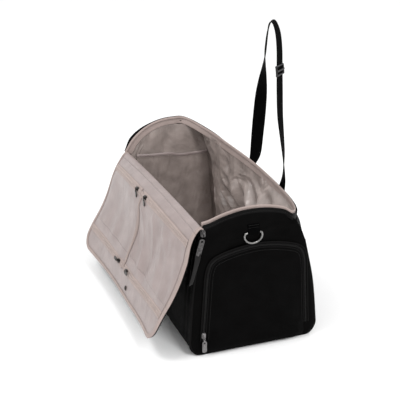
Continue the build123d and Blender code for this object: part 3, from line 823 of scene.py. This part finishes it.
def make_end_pocket(side, sign):
    edge_line = pocket_path(0, 300)

    def place(i, j, y, z):
        edge = np.min(np.hypot(edge_line[:, 0] - y, edge_line[:, 1] - z))
        puff = 2.4 + 3.4 * ease(edge, 0, 30) - 2.0 * (1 - ease(edge, 0, 4))
        seam = -1.0 * np.exp(-((edge - 5.5) / 1.3) ** 2)
        low = ease(95 - z, 0, 70) * ease(y, 10, 90)
        folds = 2.4 * fold((y - 0.9 * z) / 75, (z + 0.8 * y) / 30, 31 + sign) * low * ease(edge, 0, 14)
        soft = 1.3 * ripple(y / 60, z / 60, 33 + sign) * ease(edge, 0, 20)
        tuck = -2.8 * (1 - ease(z, 6, 16))
        return sign * (HALF + 0.6 + puff + seam + folds + soft + tuck), y, z

    flap = cloth(f"{side}_pocket_face", laid(pocket_grid(52, 54), place), NYLON, 1.8, 1)
    span(flap, "root", f"{side}_pocket", (sign * 257, 0, 27), (sign * 257, 0, 41), "black_shell",
         f"{side}_pocket_flap")

    x0 = HALF + 0.8
    count = 220
    rows = []
    for grow, lift in ((0.4, 0.9), (2.4, 1.0), (4.4, 0.6), (6.6, 1.0), (9.4, 0.9)):
        line = spaced(pocket_path(grow, 400, 34), count)
        rows.append([(sign * (x0 + lift), y, z) for y, z in line])
    tape = cloth(f"{side}_pocket_zip_tape", rows, TRIM, 1.0, 0)
    ride(tape, "root", "black_trim", f"{side}_pocket_zip")
    middle = spaced(pocket_path(4.6, 400, 34), count)
    outer = inset(middle, 1.0) - middle
    path = [(sign * (x0 + 2.2), y, z) for y, z in middle]
    across = np.stack([np.zeros(count), outer[:, 0], outer[:, 1]], axis=1)
    coil = teeth(f"{side}_pocket_coil", path, across, (sign, 0, 0), COIL_BLACK, 4.2)
    ride(coil, "root", "black_trim")
    for tag, grow in (("inner", -0.2), ("outer", 10.0)):
        line = spaced(pocket_path(grow, 400, 34), count)
        path = [(sign * (x0 + 1.7), y, z) for y, z in line]
        bead = solid(f"{side}_pocket_{tag}_bead", [tube(path, 1.5, 8)], TRIM, sharp=None)
        ride(bead, "root" if tag == "outer" else f"{side}_pocket", "black_trim")
    line = spaced(pocket_path(-5.0, 400, 36), count)
    path = [(sign * (HALF + 6.0), y, z) for y, z in line]
    thread = stitches(f"{side}_pocket_stitches", path, (sign, 0, 0), THREAD_BLACK)
    ride(thread, f"{side}_pocket", "black_trim")


def make_pocket_slider(side, sign):
    low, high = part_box(f"{side}_pocket_slider")
    y, z = (low.y + high.y) / 2 / MM, (low.z + high.z) / 2 / MM
    at = plane((sign * (HALF + 2.6), y, z), (0, sign, 0), (sign, 0, 0))
    arc = [at(0, -3 + 6 * t, 3 + 2.6 * sin(pi * t)) for t in np.linspace(0, 1, 9)]
    parts = [slab(at, 8.5, 12, 1.2, 2.6, 0.4), slab(at, 7.6, 11, 1.2, 2.2, 0.4, 2.2),
             slab(at, 4, 4.5, 1.6, 1.2, 0.3, 0.9, (0, 3)), tube(arc, 0.9, 8)]
    body = solid(f"{side}_pocket_slider_body", parts, PEWTER)
    ride(body, f"{side}_slider", "gunmetal", f"{side}_pocket_slider")
    low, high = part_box(f"{side}_pocket_pull")
    y, z = (low.y + high.y) / 2 / MM, (low.z + high.z) / 2 / MM
    at = plane((sign * (HALF + 7.6), y, z), (0, sign, 0), (sign, 0, 0))
    parts = [tab(at, 9.5, 25, 1.7, 3.4, 3.6, 8.4, (0, -3)), slab(at, 5.4, 12, 0.5, 1.6, 0.2, 1.5, (0, -6.5)),
             link(at, 1.6, 13.2, 2.4, 0.8)]
    pull = solid(f"{side}_pocket_pull_tab", parts, PEWTER)
    ride(pull, f"{side}_pull", "gunmetal", f"{side}_pocket_pull")


def make_ring(side, sign):
    low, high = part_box(f"{side}_d_ring")
    middle = (low + high) / 2 / MM
    half, drop, bar = (high.y - low.y) / 2 / MM - 2.1, 22.0, high.z / MM - 2.1
    points = [(-half + 6, 0), (half - 6, 0), (half - 1.4, -1.4), (half, -6)]
    points += [(half * cos(a), -6 - (drop - 6) * sin(a)) for a in np.linspace(0.2, pi - 0.2, 16)]
    points += [(-half, -6), (-half + 1.4, -1.4)]
    line = spaced(points + [points[0]], 73)[:-1]
    path = [(middle.x, middle.y + a, bar + b) for a, b in line]
    ring = solid(f"{side}_ring_wire", [tube(path, 2.1, 14, True)], STEEL, sharp=None)
    ride(ring, f"{side}_ring", "gunmetal", f"{side}_d_ring")

    low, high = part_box(f"{side}_ring_tab")
    y0, y1 = low.y / MM, high.y / MM
    x = abs(middle.x)
    section = [(HALF + 0.9, bar + 17), (HALF + 1.0, bar + 8), (HALF + 1.1, bar + 2), (HALF + 1.4, bar - 2.2),
               (x, bar - 3.4), (x + 2.6, bar - 2.2), (x + 3.4, bar + 0.6), (x + 2.2, bar + 4.5),
               (HALF + 3.4, bar + 9), (HALF + 3.0, bar + 17)]
    loop = smooth(section, 40)
    grid = [[(sign * a, y, b) for a, b in loop] for y in np.linspace(y0, y1, 9)]
    ride(cloth(f"{side}_ring_webbing", grid, WEBBING, 1.6, 1), "root", "webbing", f"{side}_ring_tab")
    for number, z in enumerate((bar + 10, bar + 15)):
        path = [(sign * (HALF + 4.3), y, z) for y in np.linspace(y0 + 2, y1 - 2, 12)]
        row = stitches(f"{side}_ring_stitches_{number}", path, (sign, 0, 0), THREAD_BLACK, 3, 2.2)
        ride(row, "root", "webbing")


for side, sign in SIDES:
    make_end_pocket(side, sign)
    make_pocket_slider(side, sign)
    make_ring(side, sign)


# ------------------------------------------------------------------ main zip slider, pull and tail
def make_main_pull():
    low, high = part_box("main_slider")
    centre = (low + high) / 2 / MM
    at = plane((high.x / MM - 6, centre.y, centre.z), (0, 1, 0), (1, 0, 0))
    arc = [at(0, -5 + 9 * t, 4.6 + 2.8 * sin(pi * t)) for t in np.linspace(0, 1, 10)]
    parts = [slab(at, 9, 14, 1.6, 3, 0.5, -1.0), slab(at, 8.4, 12.5, 1.6, 2.6, 0.5, 3.0),
             slab(at, 4, 5, 3.4, 1.4, 0.3, 0, (0, 3.5)), tube(arc, 1.1, 8)]
    ride(solid("main_slider_body", parts, DARK_PEWTER), "root", "gunmetal", "main_slider")
    top, foot = np.array([HALF + 1.8, -113, 251.5]), np.array([HALF + 2.6, -122.6, 218])
    along = foot - top
    length = np.linalg.norm(along)
    at = plane((top + foot) / 2, np.cross(along, (1, 0, 0)), (1, 0, 0))
    parts = [tab(at, 10.5, length, 2.2, 4, 4.0, -length / 2 + 5.5),
             slab(at, 6, 15, 0.6, 2, 0.2, 2.0, (0, 2))]
    ride(solid("main_pull_plate", parts, DARK_PEWTER), "main_pull", "gunmetal", "main_pull")
    path = smooth([(HALF + 2.4, -121.6, 222), (HALF + 3.6, -124, 208), (HALF + 3.0, -129.5, 185),
                   (HALF + 3.4, -137, 160)], 26)
    grid = [[p + np.array([0.5 * cos(4 * t), 1, 0.18]) * w for w in np.linspace(-5, 5, 5)]
            for t, p in zip(np.linspace(0, 1, 26), path)]
    ride(cloth("main_pull_webbing", grid, TAIL_WEB, 1.7, 1), "main_pull", "webbing", "main_pull_tail")


make_main_pull()


# ------------------------------------------------------------------ lid
LID_LENGTH = 272.0
LID_FINE = [smooth(line, 400) for line in (LID_MIDDLE, LID_SIDE)]
LID_TURN = [unit(np.gradient(line, axis=0)) for line in LID_FINE]


def lid_wave(x, s):
    """How far the slack lining stands off the lid at (x, s): soft folds that fall down it."""
    calm = ease(s, 58, 84) * (1 - 0.9 * ease(s, 184, 208))
    side = ease(LID_HALF - abs(x), 4, 26)
    wave = 4.4 * ripple((x + 0.06 * s) / 36, s / 190, 41) + 3.4 * ripple(x / 70, s / 130, 42)
    crease = 4.6 * fold((x - 0.35 * s) / 62, s / 200, 43) * ease(x, -90, 40)
    edge = 2.4 * ripple(x / 95, s / 160, 44) * ease(s, 90, 230)
    return side * (calm * (wave + crease) + edge)


def lid_at(x, s, lift=0.0):
    """Point on the lid, lift above its lining side."""
    side = (abs(x) / LID_HALF) ** 2
    where = min(max(s / LID_LENGTH, 0), 1) * 399
    k = int(min(where, 398))
    part = where - k

    def mixed(pair):
        middle, edge = (line[k] * (1 - part) + line[k + 1] * part for line in pair)
        return middle * (1 - side) + edge * side

    (y, z), (dy, dz) = mixed(LID_FINE), mixed(LID_TURN)
    share = s / LID_LENGTH
    flare = 3.0 * side ** 2 * share ** 2 - 0.022 * x * ease(share, 0.1, 0.35)
    height = lift + lid_wave(x, s) + flare
    return np.array([x, y + dz * height, z - dy * height])


def zip_row(row, x):
    """Distance down the lid of a zip row at x; the lower row rises towards the right end."""
    return UPPER_ZIP if row == "upper" else LOWER_ZIP - 7 * ease(x, 50, 250)


def lid_width(s, margin=0.0):
    """Half-width of the lid at s, with its free corners rounded."""
    end = LID_LENGTH - margin
    radius = LID_CORNER - margin
    over = min(max(s - (end - radius), 0), radius)
    return LID_HALF - margin - (radius - sqrt(max(radius ** 2 - over ** 2, 0)))


def lid_patch(name, s0, s1, lift, material, thick, margin, rows):
    """Cloth that follows the lid over its whole width, short of its edges by margin."""
    share = np.linspace(0, 1, rows)
    if s1 == LID_LENGTH:
        s1 -= margin
        share = np.sin(share * pi / 2)
    grid = []
    for s in s0 + (s1 - s0) * share:
        half = lid_width(s, margin)
        grid.append([lid_at(x, s, lift) for x in np.linspace(-half, half, 150)])
    return cloth(name, grid, material, thick)


def lid_border(sign, inner, s0, s1, count):
    """(x, s) points down one side of the lid, inset from its edge, between two distances."""
    return [(sign * (LID_HALF - inner), s) for s in np.linspace(s0, s1, count)]


def free_border(inner):
    """(x, s) points down the right side of the lower band, along its free edge and up the left side."""
    radius = LID_CORNER - inner
    half, end = LID_HALF - inner, LID_LENGTH - inner
    x0, s0 = half - radius, end - radius
    right = [(half, s) for s in np.linspace(EDGE_CUT, s0, 30)]
    turn = [(x0 + radius * cos(a), s0 + radius * sin(a)) for a in np.linspace(0, pi / 2, 16)]
    run = right + turn[1:] + [(x, end) for x in np.linspace(x0, 0, 60)[1:]]
    return run + [(-x, s) for x, s in run[-2::-1]]


SEWN_OUT = (0, -1, 0.2)                 # away from the lid's lining
# (distance in from the lid's edge, height) pairs across the binding
ACROSS_BINDING = [(0.0, -1.2), (-0.4, 0.2), (0.6, 1.3), (4.5, 1.6), (8.2, 1.3), (9.0, 0.5)]
# Each piece of the lid: where it starts and ends, its rows, and its joint: the body above, its own body and
# two points
LID_PARTS = {
    "band": (0.0, BAND_CUT, 8, ("root", "lid_band", (0, -108, 262), (0, -118, 268))),
    "panel": (BAND_CUT, EDGE_CUT, 86, ("lid_band", "lid", (0, -130, 266), (0, -141, 259))),
    "edge": (EDGE_CUT, LID_LENGTH, 50, ("lid", "lid_edge", (0, -187, 112), (0, -199, 82))),
}
LID_NODES = {
    "band": ("lid_band_lining", "lid_band_shell"),
    "panel": ("lid_lining", "lid_shell"),
    "edge": ("lid_edge_lining", "lid_edge_shell"),
}


def make_lid_part(part):
    s0, s1, rows, joint = LID_PARTS[part]
    lining_node, shell_node = LID_NODES[part]
    lining = lid_patch(f"lid_{part}_satin", s0, s1, 0.6, SATIN, 0.8, 3.0, rows)
    span(lining, *joint, "lining", lining_node)
    shell = lid_patch(f"lid_{part}_nylon", s0, s1, -1.6, NYLON, 1.4, 1.5, rows)
    span(shell, *joint, "black_shell", shell_node)
    if part == "edge":
        borders = {"free": free_border}
    else:
        borders = {tag: lambda inner, sign=sign: lid_border(sign, inner, s0, s1, rows)
                   for tag, sign in SIDES}
    for tag, border in borders.items():
        grid = [[lid_at(x, s, lift + 0.7) for x, s in border(inner)] for inner, lift in ACROSS_BINDING]
        span(cloth(f"lid_{part}_binding_{tag}", grid, LINING_TAPE, 0.9, 1), *joint, "lining")
        run = np.array(grid[4])
        run = run + (np.array(grid[3]) - run) * 0.35
        thread = stitches(f"lid_{part}_stitches_{tag}", run + (0, -0.5, 0.2), SEWN_OUT, THREAD_LIGHT)
        span(thread, *joint, "lining")
        grid = [[lid_at(x, s, -2.9) for x, s in border(inner)] for inner in (1.2, 6, 11)]
        tape = cloth(f"lid_{part}_tape_{tag}", grid, TRIM, 0.9)
        nodes = {"panelright": ("lid_side_tapes",), "edgefree": ("lid_edge_tape",)}.get(part + tag, ())
        span(tape, *joint, "black_trim", *nodes)


def make_lid_pockets():
    """Two slack panels, each in two pieces that meet where the lid's lower band bends."""
    for side, sign in SIDES:
        across = np.linspace(*sorted((sign * 5.0, sign * 238.0)), 84)

        def point(k, v, top, foot):
            x, hem = across[k], zip_row("lower", across[k])
            s = top + ((hem - 3 if foot is None else foot) - top) * v
            level = (s - UPPER_ZIP) / (hem - UPPER_ZIP)
            return lid_at(x, s, 1.3 + 2.0 * between(k / 83, 0.12) * between(level, 0.16))

        for tag, part, rows, top, foot, nodes in (
                ("satin", "panel", 60, UPPER_ZIP + 3, EDGE_CUT, [f"lid_{side}_pocket"]),
                ("foot", "edge", 12, EDGE_CUT, None, [])):        # None: down to the lower zip
            grid = [[point(k, v, top, foot) for k in range(84)] for v in np.linspace(0, 1, rows)]
            span(cloth(f"lid_{side}_pocket_{tag}", grid, SATIN, 0.7), *LID_PARTS[part][3], "lining", *nodes)


def make_lid_zips():
    for row, joint in (("upper", LID_PARTS["panel"][3]), ("lower", LID_PARTS["edge"][3])):
        for number, (side, sign) in enumerate(SIDES):
            across = np.linspace(*sorted((sign * 6.0, sign * 240.0)), 90)

            def line(offset, lift):
                return np.array([lid_at(x, zip_row(row, x) + offset, lift) for x in across])

            half = ((8, 1.6), (7, 2.2), (3.4, 2.3), (1.6, 1.9))
            edges = [(-offset, lift) for offset, lift in half] + list(half[::-1])
            tape = cloth(f"lid_{row}_{side}_zip_tape", [line(*edge) for edge in edges], LINING_TAPE, 0.6)
            span(tape, *joint, "lining", *(() if number else (f"lid_{row}_zips",)))
            path = line(0, 2.4)
            down, out = line(1, 2.4) - path, line(0, 3.4) - path
            span(teeth(f"lid_{row}_{side}_coil", path, down, out, COIL_LIGHT, 3.2), *joint, "lining")
            for tag, offset in (("top", -5.8), ("foot", 5.8)):
                name = f"lid_{row}_{side}_stitches_{tag}"
                span(stitches(name, line(offset, 2.4), SEWN_OUT, THREAD_LIGHT), *joint, "lining")
    run = np.linspace(UPPER_ZIP - 4, LOWER_ZIP + 4, 70)
    seam = [[lid_at(x + 1.5 * sin(s / 60), s, lift) for s in run]
            for x, lift in ((-5, 2.0), (-3.4, 3.1), (0, 3.5), (3.4, 3.1), (5, 2.0))]
    seam_tape = cloth("lid_centre_seam_tape", seam, LINING_TAPE, 0.9, 1)
    span(seam_tape, *LID_PARTS["panel"][3], "lining", "lid_centre_seam")
    for x in (-2.8, 2.8):
        line = [lid_at(x + 1.5 * sin(s / 60), s, 4.0) for s in np.linspace(UPPER_ZIP, LOWER_ZIP, 50)]
        name = "lid_seam_stitches_" + ("right" if x > 0 else "left")
        ride(stitches(name, line, SEWN_OUT, THREAD_LIGHT), "lid", "lining")


def make_lid_slider(row, side, sign):
    low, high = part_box(f"lid_{row}_{side}_slider")
    x = (low.x + high.x) / 2 / MM
    s = zip_row(row, x)
    origin = lid_at(x, s, 2.9)
    away = lid_at(x, s, 3.9) - origin
    at = plane(origin, (1, 0, 0), away)
    arc = [at(-3 + 6 * t, 0, 3.4 + 2.4 * sin(pi * t)) for t in np.linspace(0, 1, 9)]
    parts = [slab(at, 12, 8.5, 1.3, 2.6, 0.4, -0.4), slab(at, 11, 7.6, 1.3, 2.2, 0.4, 2.2),
             slab(at, 4, 4, 2.2, 1.2, 0.3, 0.5, (sign * 3, 0)), tube(arc, 0.9, 8)]
    body = solid(f"lid_{row}_{side}_slider_body", parts, DARK_METAL)
    ride(body, f"{row}_{side}_slider", "dark_metal", f"lid_{row}_{side}_slider")
    bail = at(0, 0, 4.8)
    if row == "upper":
        at = plane(bail, (1, 0, 0.16), (0, -1, 0))
    else:
        at = plane(bail, np.cross(away, (sign, 0, 0)), away)
    parts = [tab(at, 6.8, 17, 1.6, 3, 3.0, 5.0, (0, -11.5)), link(at, 1.5, -2.6, 3.0, 0.75)]
    pull = solid(f"lid_{row}_{side}_pull_tab", parts, DARK_METAL)
    ride(pull, f"{row}_{side}_pull", "dark_metal", f"lid_{row}_{side}_pull")


def make_stud():
    low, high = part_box("lid_stud")
    x, s = (low.x + high.x) / 2 / MM, LID_LENGTH - 22
    origin = lid_at(x, s, 1.0)
    away = lid_at(x, s, 2.0) - origin
    at = plane(origin, (1, 0, 0), away)
    rings = [[at(r * cos(a), r * sin(a), h) for a in np.arange(24) * pi / 12]
             for r, h in ((5.6, 0), (5.6, 0.6), (5.0, 1.0), (4.4, 1.1), (4.2, 2.0), (3.4, 2.7), (1.6, 3.0))]
    ride(solid("lid_press_stud", [(rings, False)], DARK_METAL), "lid_edge", "dark_metal", "lid_stud")


for part in LID_PARTS:
    make_lid_part(part)
make_lid_pockets()
make_lid_zips()
for row in ("upper", "lower"):
    for side, sign in SIDES:
        make_lid_slider(row, side, sign)
make_stud()


# ------------------------------------------------------------------ carry strap
STRAP_W, STRAP_T = 32.0, 2.4
# x, y, z of the webbing's middle, and the direction of its width in plan, degrees from +X
STRAP = [(78, 140, 60, 180), (78, 139.5, 120, 180), (78, 135.5, 180, 180), (77.5, 131.5, 225, 179),
         (77, 134, 255, 176), (76, 138, 274, 168), (73, 140.5, 292, 160), (66, 141.5, 330, 148),
         (57, 140, 372, 140), (49, 138.5, 412, 134), (42, 139, 460, 132), (34.8, 140.5, 505, 133),
         (28, 142, 545, 134), (20, 142, 575, 136), (9, 141, 593, 140), (-4, 140.5, 600, 143),
         (-17, 140, 593, 148), (-27, 140, 570, 156), (-36, 140.5, 530, 158), (-42, 141, 500, 143),
         (-47, 141, 470, 122), (-53, 141, 430, 100), (-60, 141, 380, 92), (-67, 141, 335, 95),
         (-71, 140.5, 300, 100), (-74, 139, 280, 108), (-76, 136, 262, 132), (-77, 133, 243, 160),
         (-77.5, 131.5, 225, 178), (-78, 135.5, 180, 180), (-78, 139.5, 120, 180), (-78, 140, 60, 180)]


def make_strap():
    line = smooth(STRAP, 320)
    grid = []
    for x, y, z, turn in line:
        side = np.array([cos(radians(turn)), sin(radians(turn)), 0])
        grid.append([np.array([x, y, z]) + side * w for w in np.linspace(-STRAP_W / 2, STRAP_W / 2, 9)])
    grid = np.array(grid)
    facing = normals(grid)
    edge = np.array([0.5, 0.15, 0, 0, 0, 0, 0, 0.15, 0.5])
    grid = grid + facing * edge[None, :, None]
    strap = cloth("carry_strap_webbing", grid, WEBBING, STRAP_T, 1)
    span(strap, "root", "strap", (0, 141, 268), (0, 141, 302), "webbing", "carry_strap", "strap_anchors")
    foot = np.array(STRAP[:5])
    for side, sign in SIDES:
        for number, z in enumerate((70, 84, 200, 214)):
            y = np.interp(z, foot[:, 2], foot[:, 1]) + 1.8
            path = [(sign * 78 + a, y, z) for a in np.linspace(-13, 13, 12)]
            name = f"strap_{side}_stitches_{number}"
            ride(stitches(name, path, (0, 1, 0), THREAD_BLACK, 3, 2.2, 0.45), "root", "webbing")


def make_adjuster():
    low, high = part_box("strap_adjuster")
    middle = (low + high) / 2 / MM
    turn = radians(133)
    up = np.array([-0.152, 0, 0.988])
    across = np.array([cos(turn), sin(turn), 0])
    away = np.cross(across, up)
    place = plane(np.array([middle.x, 140.6, middle.z]), across, away)
    half, bar = 19, 9.5
    ends = np.linspace(-1, 1, 9)
    parts = [tube([place(half * t, b, 2.4 if b == 0 else 0) for t in ends], 1.9, 10) for b in (-bar, 0, bar)]
    for a in (-half, half):
        parts.append(tube([place(a, (bar + 1) * t, 0.9 * cos((bar + 1) * t / bar)) for t in ends], 2.0, 10))
    ride(solid("strap_slide_frame", parts, PLASTIC), "strap_slide", "black_plastic", "strap_adjuster")


make_strap()
make_adjuster()
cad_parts["base_board"].data.materials.clear()
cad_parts["base_board"].data.materials.append(BOARD)


# ------------------------------------------------------------------ stage, light and camera
def make_stage():
    size = 9000
    corners = [(-size, -size, 0), (size, -size, 0), (size, size, 0), (-size, size, 0)]
    piece_from("studio_floor", corners, [(0, 1, 2, 3)], floor_finish())


def floor_finish():
    f = Finish("pale_floor", by_uv=False)
    f.colour(f.noise(600, 2), (0.93, 0.93, 0.93), (0.96, 0.96, 0.96))
    f.roughness(f.noise(60, 2), 0.55, 0.65)
    return f.set(Specular_IOR_Level=0.15)


def area_light(name, place, target, size, power):
    lamp = bpy.data.lights.new(name, "AREA")
    lamp.shape = "DISK"
    lamp.size = size
    lamp.energy = power
    made = bpy.data.objects.new(name, lamp)
    made.location = place
    made.rotation_euler = (Vector(target) - Vector(place)).to_track_quat("-Z", "Y").to_euler()
    bpy.context.scene.collection.objects.link(made)


def make_light():
    world = bpy.data.worlds.new("studio")
    world.use_nodes = True
    background = world.node_tree.nodes["Background"]
    background.inputs["Color"].default_value = (1.0, 1.0, 1.0, 1)
    background.inputs["Strength"].default_value = 1.04
    bpy.context.scene.world = world
    area_light("key", (0.3, -1.7, 2.9), (0, -0.1, 0.15), 0.9, 31)
    area_light("window", (2.3, 0.3, 2.4), (0, 0, 0.2), 0.8, 36)
    bpy.context.scene.view_settings.view_transform = "Standard"


def make_camera():
    camera = bpy.data.objects.new("camera", bpy.data.cameras.new("camera"))
    back = Vector((0.87346, -0.32919, 0.35874))
    right = Vector((0.35266, 0.93575, 0.0))
    turn = Matrix((right, back.cross(right), back)).transposed()
    camera.matrix_world = Matrix.Translation(Vector((1593.38, -623.0, 880.02)) * MM) @ turn.to_4x4()
    camera.data.sensor_width = 36
    camera.data.lens = 75.79
    camera.data.clip_end = 60
    bpy.context.scene.collection.objects.link(camera)
    bpy.context.scene.camera = camera


make_stage()
make_light()
make_camera()
bpy.context.view_layer.update()
